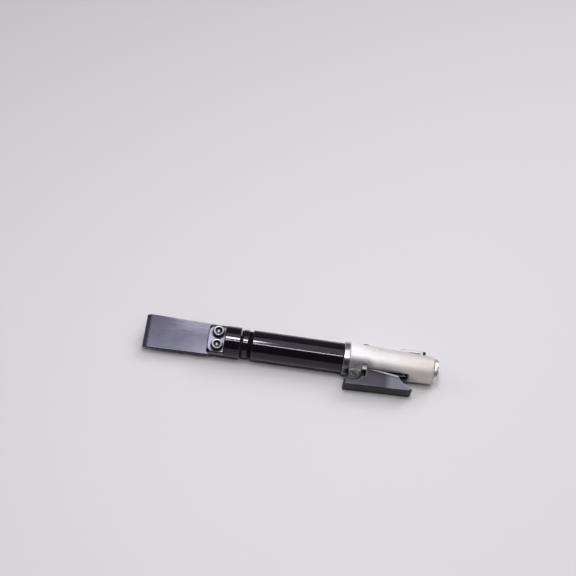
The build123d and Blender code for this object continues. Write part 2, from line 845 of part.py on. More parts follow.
# The tool lies on its collar and on the lever's outer edge, so it is rolled until both meet the table,
# then moved so that the middle of its footprint is the origin and the table is z = 0.
def laying(pieces):
    edge = math.hypot(lever_reach, lever_width / 2)
    lean = math.degrees(math.acos(collar_radius / edge) + math.atan2(lever_width / 2, lever_reach))
    roll = Rot(90 - lean, 0, 0)
    extent = Compound([roll * piece for piece in pieces.values()]).bounding_box()
    centre = extent.center()
    return Pos(-centre.X, -centre.Y, -extent.min.Z) * roll


def main():
    os.makedirs("parts", exist_ok=True)
    pieces = make_pieces()
    lay = laying(pieces)
    for name, piece in pieces.items():
        export_step(lay * piece, f"parts/{name}.step")
    marks = {
        "inlet mouth": (x_inlet, 0, 0),
        "lever pin": (x_pin, -pin_reach, 0),
        "regulator": (x_knob, regulator_level, 0),
        "spring fixed end": (x_thread_end, 0, 0),
        "throttle spring fixed end": (x_throttle, plug_face, 0),
    }
    for name, place in marks.items():
        spot = (lay * Pos(*place)).position
        print(f"{name}: {spot.X:.4f} {spot.Y:.4f} {spot.Z:.4f}")
    for name, axis in {"blade normal": (0, 0, 1), "lever side": (0, -1, 0)}.items():
        tip = (lay * Pos(*axis)).position - lay.position
        print(f"{name}: {tip.X:.6f} {tip.Y:.6f} {tip.Z:.6f}")
    for name, winding in {"return spring": return_winding(), "throttle spring": throttle_winding()}.items():
        print(f"{name} turn gap: {coil_gap(*winding):.3f}")


main()
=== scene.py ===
import bpy
import json
import math
import numpy as np
from mathutils import Matrix, Vector


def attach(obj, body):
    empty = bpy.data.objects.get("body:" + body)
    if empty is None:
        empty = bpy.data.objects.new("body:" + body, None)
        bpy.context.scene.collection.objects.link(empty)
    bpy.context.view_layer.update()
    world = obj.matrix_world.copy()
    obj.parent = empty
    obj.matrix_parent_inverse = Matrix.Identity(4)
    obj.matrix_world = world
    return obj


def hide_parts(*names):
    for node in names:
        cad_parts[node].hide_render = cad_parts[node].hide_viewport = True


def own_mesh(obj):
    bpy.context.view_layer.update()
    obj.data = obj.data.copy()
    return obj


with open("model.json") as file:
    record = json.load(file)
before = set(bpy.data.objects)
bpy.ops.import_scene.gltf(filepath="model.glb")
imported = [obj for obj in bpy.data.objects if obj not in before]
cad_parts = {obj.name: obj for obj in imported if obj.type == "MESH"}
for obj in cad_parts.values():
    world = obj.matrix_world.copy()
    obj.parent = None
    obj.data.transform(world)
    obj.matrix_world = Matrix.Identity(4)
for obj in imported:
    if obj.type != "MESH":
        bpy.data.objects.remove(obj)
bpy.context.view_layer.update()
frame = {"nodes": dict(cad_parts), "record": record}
nodes = frame["nodes"]
perMetre = 1000  # millimetres, in which the pieces and finishes below are written
print("frame loaded,", len(nodes), "nodes")


def linear(hexColour):
    # sRGB hex to linear, the usual two-part curve
    channels = [int(hexColour[i:i + 2], 16) / 255 for i in (1, 3, 5)]
    return [c / 12.92 if c <= 0.04045 else ((c + 0.055) / 1.055) ** 2.4 for c in channels] + [1.0]


def addNode(tree, kind, settings=None, inputs=None):
    # one node, its settings, and each input as a link or a constant; a Mix node's inputs go by number:
    # 0 is its share, 2 and 3 are its numbers, 6 and 7 its colours
    node = tree.nodes.new(kind)
    for name, value in (settings or {}).items():
        setattr(node, name, value)
    for name, value in (inputs or {}).items():
        if isinstance(value, bpy.types.NodeSocket):
            tree.links.new(value, node.inputs[name])
        else:
            node.inputs[name].default_value = value
    return node


# the tool's own axes in the row frame: x along the barrel from the cutting edge, y away from the lever,
# z out of the blade's face; the cutting edge's middle is the origin, in metres
tool = {
    "origin": (-0.1173, 0.0052806, 0.0132),
    "along": (1.0, 0.0, 0.0),
    "away": (0.0, 0.966143, 0.258007),
    "face": (0.0, -0.258007, 0.966143),
}

stage = {
    # the floor's size in metres, and how far to each side of the middle the sky blends from front to back
    "floor": "#d3d2d5", "floorSize": 6.0, "floorRough": 0.9,
    "front": "#4d4b52", "back": "#76747c", "skyReach": 0.6, "skyStrength": 1.0,
}

lamps = {
    # name: place, aim, width and height in metres, watts, colour
    "ceiling": ((0.12, -0.05, 0.98), (0.12, -0.05, 0.0), 1.00, 1.05, 4.5, "#fdfbff"),
    "window": ((-0.075, -0.13, 0.95), (-0.06, 0.0, 0.02), 0.085, 0.20, 2.2, "#fffdfb"),
    "strip": ((0.05, -0.41, 0.90), (0.02, 0.0, 0.02), 0.34, 0.035, 1.5, "#fffefc"),
    "fill": ((0.56, 0.62, 0.80), (0.05, 0.0, 0.02), 0.70, 0.50, 4.6, "#fdfbfa"),
    "farFill": ((-0.95, 0.10, 0.85), (-0.05, 0.0, 0.02), 0.60, 0.60, 2.0, "#fbfaff"),
}

camera = {
    # degrees and metres; the focal length is in pixels of the picture, the sensor in millimetres
    "azimuth": -0.512, "elevation": 50.345, "roll": 8.59,
    "distance": 1.15321, "target": Vector((-0.00917, 0.06858, 0.0132)),
    "focalPixels": 1400, "pictureWidth": 576, "sensor": 36.0, "clip": (0.01, 20.0),
}


def placeCamera():
    # back vector from azimuth and elevation, then the picture's own axes turned by the roll
    a, e, r = (math.radians(camera[k]) for k in ("azimuth", "elevation", "roll"))
    back = Vector((math.sin(a) * math.cos(e), -math.cos(a) * math.cos(e), math.sin(e)))
    level = Vector((math.cos(a), math.sin(a), 0.0))
    upright = back.cross(level)
    right = math.cos(r) * level + math.sin(r) * upright
    up = -math.sin(r) * level + math.cos(r) * upright
    data = bpy.data.cameras.new("camera")
    data.sensor_width = camera["sensor"]
    data.lens = camera["focalPixels"] / camera["pictureWidth"] * camera["sensor"]
    data.clip_start, data.clip_end = camera["clip"]
    item = bpy.data.objects.new("camera", data)
    bpy.context.scene.collection.objects.link(item)
    turn = Matrix((right, up, back)).transposed().to_4x4()
    item.matrix_world = Matrix.Translation(camera["target"] + back * camera["distance"]) @ turn
    bpy.context.scene.camera = item


def placeLamps():
    for name, (place, aim, width, height, watts, colour) in lamps.items():
        data = bpy.data.lights.new(name, "AREA")
        data.shape = "RECTANGLE"
        data.size, data.size_y = width, height
        data.energy = watts
        data.color = linear(colour)[:3]
        item = bpy.data.objects.new(name, data)
        bpy.context.scene.collection.objects.link(item)
        item.location = place
        item.rotation_euler = (Vector(aim) - Vector(place)).to_track_quat("-Z", "Y").to_euler()


def layFloor():
    half = stage["floorSize"] / 2
    mesh = bpy.data.meshes.new("floor")
    corners = [(-half, -half, 0), (half, -half, 0), (half, half, 0), (-half, half, 0)]
    mesh.from_pydata(corners, [], [(0, 1, 2, 3)])
    floor = bpy.data.objects.new("floor", mesh)
    bpy.context.scene.collection.objects.link(floor)
    paper = bpy.data.materials.new("matt_paper_sweep")
    paper.use_nodes = True
    shader = paper.node_tree.nodes["Principled BSDF"]
    shader.inputs["Base Color"].default_value = linear(stage["floor"])
    shader.inputs["Roughness"].default_value = stage["floorRough"]
    mesh.materials.append(paper)


def hangSky():
    # dim towards the viewer and paler behind: the ray's depth runs the blend
    world = bpy.data.worlds.new("studio")
    bpy.context.scene.world = world
    world.use_nodes = True
    tree = world.node_tree
    place = addNode(tree, "ShaderNodeTexCoord")
    parts = addNode(tree, "ShaderNodeSeparateXYZ", None, {0: place.outputs["Generated"]})
    depth = addNode(tree, "ShaderNodeMapRange", None, {
        "Value": parts.outputs["Y"], "From Min": -stage["skyReach"], "From Max": stage["skyReach"]})
    shade = addNode(tree, "ShaderNodeMix", {"data_type": "RGBA"},
                    {0: depth.outputs[0], 6: linear(stage["front"]), 7: linear(stage["back"])})
    sky = tree.nodes["Background"]
    tree.links.new(shade.outputs[2], sky.inputs["Color"])
    sky.inputs["Strength"].default_value = stage["skyStrength"]


placeCamera()
placeLamps()
layFloor()
hangSky()
bpy.context.scene.view_settings.view_transform = "Standard"
print("camera, lamps and floor placed")


smoothing = {"weld": 1e-6, "turned": 22, "knurled": 40}  # metres, then the two creases in degrees


def smoothGroup(name, creaseShade):
    # welds the loose triangles and keeps an edge sharp where its faces turn by more than the crease
    tree = bpy.data.node_groups.new(name, "GeometryNodeTree")
    tree.interface.new_socket("Geometry", in_out="INPUT", socket_type="NodeSocketGeometry")
    tree.interface.new_socket("Geometry", in_out="OUTPUT", socket_type="NodeSocketGeometry")
    start = addNode(tree, "NodeGroupInput")
    weld = addNode(tree, "GeometryNodeMergeByDistance", None,
                   {"Geometry": start.outputs[0], "Distance": smoothing["weld"]})
    turn = addNode(tree, "GeometryNodeInputMeshEdgeAngle")
    soft = addNode(tree, "FunctionNodeCompare", {"operation": "LESS_EQUAL"},
                   {0: turn.outputs["Unsigned Angle"], 1: math.radians(creaseShade)})
    faces = addNode(tree, "GeometryNodeSetShadeSmooth", {"domain": "FACE"},
                    {"Geometry": weld.outputs[0], "Shade Smooth": True})
    edges = addNode(tree, "GeometryNodeSetShadeSmooth", {"domain": "EDGE"},
                    {"Geometry": faces.outputs[0], "Shade Smooth": soft.outputs[0]})
    addNode(tree, "NodeGroupOutput", None, {0: edges.outputs[0]})
    return tree


turnedCrease = smoothGroup("smooth_turned", smoothing["turned"])
knurlCrease = smoothGroup("smooth_knurled", smoothing["knurled"])
for node in nodes.values():
    node.modifiers.new("smooth", "NODES").node_group = turnedCrease


def layPoints(x, y, z):
    # millimetres on the tool's axes to metres in the row frame
    axes = np.array([tool["along"], tool["away"], tool["face"]])
    return np.stack([x, y, z], -1) / perMetre @ axes + np.array(tool["origin"])


def gridPiece(name, points, loop, poles, body, node):
    # a grid of rows and columns as quads: columns close round the axis, rows close into a loop
    # or end in two poles, each a fan of triangles
    rows, columns = points.shape[:2]
    i = np.arange(rows if loop else rows - 1)[:, None]
    j = np.arange(columns)[None, :]
    near, far = i * columns, (i + 1) % rows * columns
    quads = np.stack([near + j, near + (j + 1) % columns, far + (j + 1) % columns, far + j], -1)
    faces = quads.reshape(-1, 4).tolist()
    verts = points.reshape(-1, 3)
    if poles is not None:
        ring = np.arange(columns)
        first = np.stack([np.full(columns, len(verts)), (ring + 1) % columns, ring], -1)
        top = (rows - 1) * columns
        last = np.stack([np.full(columns, len(verts) + 1), top + ring, top + (ring + 1) % columns], -1)
        faces += first.tolist() + last.tolist()
        verts = np.concatenate([verts, poles])
    mesh = bpy.data.meshes.new(name)
    mesh.from_pydata(verts.tolist(), [], faces)
    mesh.update()
    piece = bpy.data.objects.new(name, mesh)
    bpy.context.scene.collection.objects.link(piece)
    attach(piece, body)
    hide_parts(node)
    return piece


screws = {
    "x": 58.5, "y": 5.65, "seat": 1.6, "length": 10.0, "shank": 2.5, "tip": 0.4,
    "head": 4.25, "height": 5.0, "chamfer": 0.45, "underEdge": 0.3, "shoulderIn": 0.06,
    "ridges": 36, "knurlDepth": 0.16, "knurlStart": 0.25, "knurlStop": 0.12, "knurlFade": 0.35,
    "knurlRings": 9, "columns": 288,
    "mouth": 2.85, "lipIn": 0.04, "lipDown": 0.03, "flats": 4.0, "countersink": 0.577, "depth": 2.6,
    "drillSteps": ((1.7, 0.1), (0.6, 0.42)), "drill": 0.55,
    # from 0, all its oxide, to 1, bright where hands and keys rub it off; the bright point at the socket's
    # bottom is a painted highlight
    "wear": {
        "tip": 0.2, "shank": 0.3, "neck": 0.2, "under": 0.1, "valley": 0.02, "crest": 0.16,
        "shoulder": 0.7, "top": 1.0, "lip": 0.1, "hexagon": 0.0, "drill": (0.1, 0.8), "poles": (0.2, 1.0)},
}


def makeScrews():
    # a socket cap screw: rings of radius over the turn, climbing from the shank's end round the head and down
    # the socket; ridges are a raised cosine over the turn, the hexagon is half its flats over the cosine
    # of the turn within its side
    s = screws
    wear = s["wear"]
    turn = np.arange(s["columns"]) * 2 * np.pi / s["columns"]
    hexagon = s["flats"] / 2 / np.cos((turn + np.pi / 6) % (np.pi / 3) - np.pi / 6)
    crest = 0.5 + 0.5 * np.cos(s["ridges"] * turn)
    low, high = s["seat"] - s["length"], s["seat"] + s["height"]
    shoulder, bottom = high - s["chamfer"], high - s["depth"]
    sunk = s["knurlDepth"] * (1 - crest)
    climb = np.linspace(s["seat"] + s["knurlStart"], shoulder - s["knurlStop"], s["knurlRings"])
    fade = np.clip(np.minimum(climb - climb[0], climb[-1] - climb) / s["knurlFade"], 0, 1)
    # each ring's radius, level and wear
    shank = [
        (s["shank"] - s["tip"], low, wear["tip"]),
        (s["shank"], low + s["tip"], wear["shank"]),
        (s["shank"], s["seat"], wear["neck"]),
        (s["head"] - s["underEdge"], s["seat"], wear["under"]),
    ]
    knurl = [(s["head"] - sunk * cut, level, wear["valley"] + wear["crest"] * crest ** 2)
             for level, cut in zip(climb, fade)]
    socket = [
        (s["head"] - s["shoulderIn"], shoulder, wear["shoulder"]),
        (s["head"] - s["chamfer"], high, wear["top"]),
        (s["mouth"], high, wear["top"]),
        (s["mouth"] - s["lipIn"], high - s["lipDown"], wear["lip"]),
        (hexagon, high - s["countersink"] * (s["mouth"] - hexagon), wear["hexagon"]),
        (hexagon, bottom, wear["hexagon"]),
    ]
    drilled = [(radius, bottom - sink, rub) for (radius, sink), rub in zip(s["drillSteps"], wear["drill"])]
    rings = shank + knurl + socket + drilled
    flat = np.ones_like(turn)
    radii, levels, wears = [np.array([flat * ring[k] for ring in rings]) for k in range(3)]
    both = []
    for number, side in ((1, -1), (2, 1)):
        y = side * s["y"]
        points = layPoints(s["x"] + radii * np.cos(turn), y + radii * np.sin(turn), levels)
        ends = layPoints(np.full(2, s["x"]), np.full(2, y), np.array([low, bottom - s["drill"]]))
        piece = gridPiece(f"capScrew{number}", points, False, ends,
                          "blade_head", "blade_screws")
        rub = piece.data.attributes.new("wear", "FLOAT", "POINT")
        rub.data.foreach_set("value", np.concatenate([wears.ravel(), wear["poles"]]))
        piece.modifiers.new("smooth", "NODES").node_group = knurlCrease
        both.append(piece)
    return both


bushing = {
    "back": 219.0, "rear": 231.6, "end": 234.6, "floor": 222.6, "screen": 0.8,
    "supply": 4.0, "screenSeat": 5.0, "thread": 7.5,
    "flange": 9.2, "frontEdge": 0.25, "edge": 0.5, "edgeMiddle": (0.15, 0.2),
    "groove": (7.95, 7.6, 0.22), "grooveSlope": 0.08, "mouth": 6.85, "leadIn": 0.75,
    "minor": 5.725, "major": 6.58, "pitch": 1.337, "flank": (1.5, 0.25), "steps": 14, "columns": 144,
}


def makeBushing():
    # a closed profile spun about the axis; inside, the radius also rises and falls along the screw:
    # a smoothed triangle of the distance along the axis less one pitch for each turn
    b = bushing
    turn = np.arange(b["columns"]) * 2 * np.pi / b["columns"]
    outer, inner, depth = b["groove"]
    rear, face, flange = b["rear"], b["end"], b["flange"]
    middleBack, middleIn = b["edgeMiddle"]
    profile = [
        (b["back"], b["supply"]), (b["back"], b["thread"]), (rear, b["thread"]),
        (rear, flange - b["frontEdge"]), (rear + b["frontEdge"], flange),
        (face - b["edge"], flange), (face - middleBack, flange - middleIn), (face, flange - b["edge"]),
        (face, outer), (face - depth, outer - b["grooveSlope"]),
        (face - depth, inner + b["grooveSlope"]), (face, inner), (face, b["mouth"]),
    ]
    start = face - b["leadIn"]
    count = round((start - b["floor"]) / b["pitch"] * b["steps"])
    along = np.linspace(start, b["floor"], count)[:, None]
    phase = (along / b["pitch"] - turn / (2 * np.pi)) % 1.0
    steep, cut = b["flank"]
    ramp = np.clip(steep * (1 - np.abs(2 * phase - 1)) - cut, 0, 1)
    rise = ramp * ramp * (3 - 2 * ramp)
    fade = np.clip((along - b["floor"]) / b["pitch"], 0, 1)
    threadRadius = b["minor"] + (b["major"] - b["minor"]) * rise * fade
    tail = [(b["floor"], b["screenSeat"]), (b["floor"] - b["screen"], b["screenSeat"]),
            (b["floor"] - b["screen"], b["supply"])]
    spread = np.ones_like(turn)
    x = np.concatenate([np.outer([p[0] for p in profile], spread), along * spread,
                        np.outer([p[0] for p in tail], spread)])
    r = np.concatenate([np.outer([p[1] for p in profile], spread), threadRadius,
                        np.outer([p[1] for p in tail], spread)])
    points = layPoints(x, r * np.cos(turn), r * np.sin(turn))
    piece = gridPiece("inletBushing", points[::-1], True, None, "housing", "inlet_bushing")
    piece.modifiers.new("smooth", "NODES").node_group = knurlCrease
    return piece


springs = {
    "rowsPerTurn": 48, "columns": 16,
    # each starts at a point on the tool's axes and winds along one of them; joint, travel and held give its
    # joint, the joint's travel and the end that is held
    "returnSpring": {
        "node": "return_spring", "start": (98.1, 0.0, 0.0), "winds": "along", "length": 14.0, "radius": 7.5,
        "wire": 1.4, "turns": 4.5, "joint": "blade_stroke", "travel": 5.0, "held": 98.1},
    "throttleSpring": {
        "node": "throttle_spring", "start": (176.4, 3.0, 0.0), "winds": "away", "length": 5.0, "radius": 2.0,
        "wire": 0.6, "turns": 4.0, "joint": "throttle_lift", "travel": 1.08, "held": 8.0},
}


def makeSpring(name):
    # a round wire carried along a helix: at each turn the section is laid out from the helix's outward normal
    # and the cross product of its heading with that normal; the two ends close in a pole
    s = springs[name]
    rise = (s["length"] - s["wire"]) / (s["turns"] * 2 * np.pi)
    turn = np.linspace(0, s["turns"] * 2 * np.pi, round(s["turns"] * springs["rowsPerTurn"]) + 1)[:, None]
    section = np.arange(springs["columns"]) * 2 * np.pi / springs["columns"]
    slope = math.atan2(rise, s["radius"])
    out = s["radius"] + s["wire"] / 2 * np.cos(section)
    across = s["wire"] / 2 * np.sin(section)
    along = s["wire"] / 2 + rise * turn - math.cos(slope) * across
    right = out * np.cos(turn) - math.sin(slope) * across * np.sin(turn)
    up = out * np.sin(turn) + math.sin(slope) * across * np.cos(turn)
    tube = np.stack([along, right, up], -1)
    ends = tube[[0, -1]].mean(1)
    x, y, z = s["start"]
    if s["winds"] == "along":
        tube, ends = [layPoints(x + p[..., 0], y + p[..., 1], z + p[..., 2]) for p in (tube, ends)]
    else:
        tube, ends = [layPoints(x - p[..., 1], y + p[..., 0], z + p[..., 2]) for p in (tube, ends)]
    piece = gridPiece(name, tube, False, ends, "housing", s["node"])
    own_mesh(piece)
    piece.modifiers.new("smooth", "NODES").node_group = knurlCrease
    return piece


newPieces = {
    "screw_steel": makeScrews(), "plated_steel": [makeBushing()],
    "spring_steel": [makeSpring("returnSpring"), makeSpring("throttleSpring")],
}
print("cap screws, inlet bushing and springs made")


# turns the row frame's Object coordinates onto the tool's axes, in metres
toolRoll = -math.atan2(tool["away"][2], tool["away"][1])
toolShift = -(Matrix.Rotation(toolRoll, 3, "X") @ Vector(tool["origin"]))


# what all finishes share, by the names of the nodes' own sockets and settings
layers = {
    "grain": {"Scale": 1.0, "Detail": 4.0, "Roughness": 0.6},
    "cloud": {"Detail": 3.0},
    "tone": {"From Min": 0.3, "From Max": 0.7},
    "streak": {"From Min": 0.35, "From Max": 0.75},
    "rough": {"From Min": 0.3, "From Max": 0.7},
    "bare": {"From Min": 0.995, "From Max": 0.93},  # cosine of the turn at an edge
    "patchy": {"From Min": 0.25, "From Max": 0.6},
    "rounding": {"samples": 6},
}


# A finish is built in layers on the tool's own axes, sizes in millimetres: a cloud and a grain noise for
# colour, the grain again for roughness and bump, and bare edges where the rounded normal leaves the true one.
def startFinish(look):
    material = bpy.data.materials.new(look["name"])
    material.use_nodes = True
    tree = material.node_tree
    place = addNode(tree, "ShaderNodeTexCoord")
    lay = addNode(tree, "ShaderNodeMapping", None, {
        "Vector": place.outputs["Object"], "Location": toolShift, "Rotation": (toolRoll, 0, 0)})
    stretch = addNode(tree, "ShaderNodeMapping", None, {
        "Vector": lay.outputs[0], "Scale": [perMetre / size for size in look["grain"]]})
    grain = addNode(tree, "ShaderNodeTexNoise", None, {"Vector": stretch.outputs[0], **layers["grain"]})
    cloud = addNode(tree, "ShaderNodeTexNoise", None, {
        "Vector": lay.outputs[0], "Scale": perMetre / look["cloud"], **layers["cloud"]})
    tone = addNode(tree, "ShaderNodeMapRange", None, {"Value": cloud.outputs[0], **layers["tone"]})
    body = addNode(tree, "ShaderNodeMix", {"data_type": "RGBA"},
                   {0: tone.outputs[0], 6: linear(look["colour"]), 7: linear(look["second"])})
    streak = addNode(tree, "ShaderNodeMapRange", None, {
        "Value": grain.outputs[0], "To Max": look["streak"], **layers["streak"]})
    lined = addNode(tree, "ShaderNodeMix", {"data_type": "RGBA"},
                    {0: streak.outputs[0], 6: body.outputs[2], 7: linear(look["line"])})
    rough = addNode(tree, "ShaderNodeMapRange", None, {
        "Value": grain.outputs[0], "To Min": look["rough"][0], "To Max": look["rough"][1], **layers["rough"]})
    spot = addNode(tree, "ShaderNodeSeparateXYZ", None, {0: lay.outputs[0]})
    out = addNode(tree, "ShaderNodeMath", {"operation": "ABSOLUTE"}, {0: spot.outputs["Z"]})
    return {
        "material": material, "tree": tree, "shader": tree.nodes["Principled BSDF"],
        "lay": lay.outputs[0], "grain": grain.outputs[0],
        "along": spot.outputs["X"], "behind": spot.outputs["X"],
        "away": spot.outputs["Y"], "out": out.outputs[0],
        "colour": lined.outputs[2], "rough": rough.outputs[0], "metal": look["metallic"]}


def coverFinish(finish, masks, colour, levels=None):
    # lays another colour, and where given another roughness or metal, over the finish where all masks meet
    tree = finish["tree"]
    mask = masks[0]
    for other in masks[1:]:
        mask = addNode(tree, "ShaderNodeMath", {"operation": "MULTIPLY"}, {0: mask, 1: other}).outputs[0]
    finish["colour"] = addNode(tree, "ShaderNodeMix", {"data_type": "RGBA"},
                               {0: mask, 6: finish["colour"], 7: linear(colour)}).outputs[2]
    for key, value in (levels or {}).items():
        finish[key] = addNode(tree, "ShaderNodeMix", None, {0: mask, 2: finish[key], 3: value}).outputs[0]


def endFinish(finish, look):
    tree, shader = finish["tree"], finish["shader"]
    rounded = addNode(tree, "ShaderNodeBevel", layers["rounding"], {"Radius": look["edge"] / perMetre})
    true = addNode(tree, "ShaderNodeNewGeometry")
    turn = addNode(tree, "ShaderNodeVectorMath", {"operation": "DOT_PRODUCT"},
                   {0: rounded.outputs[0], 1: true.outputs["Normal"]})
    bare = addNode(tree, "ShaderNodeMapRange", None, {
        "Value": turn.outputs["Value"], "To Max": look["worn"], **layers["bare"]})
    patchy = addNode(tree, "ShaderNodeMapRange", None, {"Value": finish["grain"], **layers["patchy"]})
    coverFinish(finish, [bare.outputs[0], patchy.outputs[0]], look["bare"])
    bump = addNode(tree, "ShaderNodeBump", None, {
        "Strength": look["bump"], "Distance": look["depth"] / perMetre,
        "Height": finish["grain"], "Normal": rounded.outputs[0]})
    tree.links.new(finish["colour"], shader.inputs["Base Color"])
    tree.links.new(bump.outputs[0], shader.inputs["Normal"])
    for key, socket in (("rough", "Roughness"), ("metal", "Metallic")):
        if isinstance(finish[key], bpy.types.NodeSocket):
            tree.links.new(finish[key], shader.inputs[socket])
        else:
            shader.inputs[socket].default_value = finish[key]
    for socket, value in look.get("sockets", {}).items():
        shader.inputs[socket].default_value = value
    return finish["material"]


